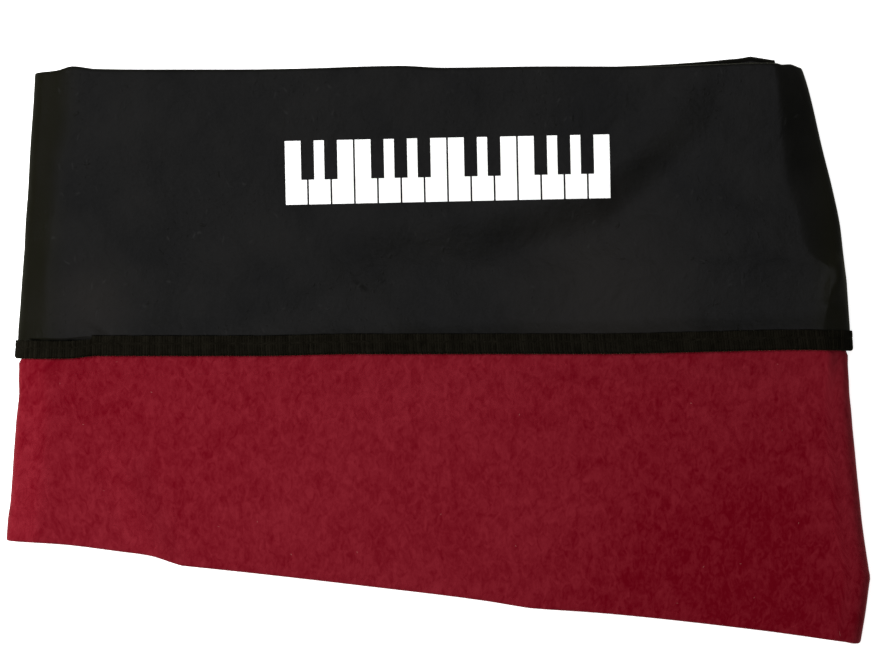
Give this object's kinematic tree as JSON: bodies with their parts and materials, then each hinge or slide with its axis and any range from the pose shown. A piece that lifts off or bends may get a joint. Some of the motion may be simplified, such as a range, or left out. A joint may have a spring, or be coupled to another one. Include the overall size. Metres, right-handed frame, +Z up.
{
  "type": "folded piano cover",
  "caption": "Dust cover for a portable piano, folded flat: black coated shell, red suede lining and a ribbed binding tape on its front hem.",
  "frame": {"origin": "middle of the folded bundle's outline, on the surface that it lies on", "axes": "+X to the right along the front hem, +Y to the rear, +Z up through the folded layers"},
  "size_m": [0.4734, 0.3228, 0.0231],
  "materials": {
    "shell_cloth": "black coated nylon, satin, fine weave and small creases",
    "lining_suede": "dark red brushed suede cloth, matte, mottled nap",
    "binding_tape": "black ribbed tape, matte, sewn along its edge"
  },
  "bodies": {
    "root": {"shell": "shell_cloth", "lining": "lining_suede", "binding": "binding_tape"}
  },
  "joints": []
}
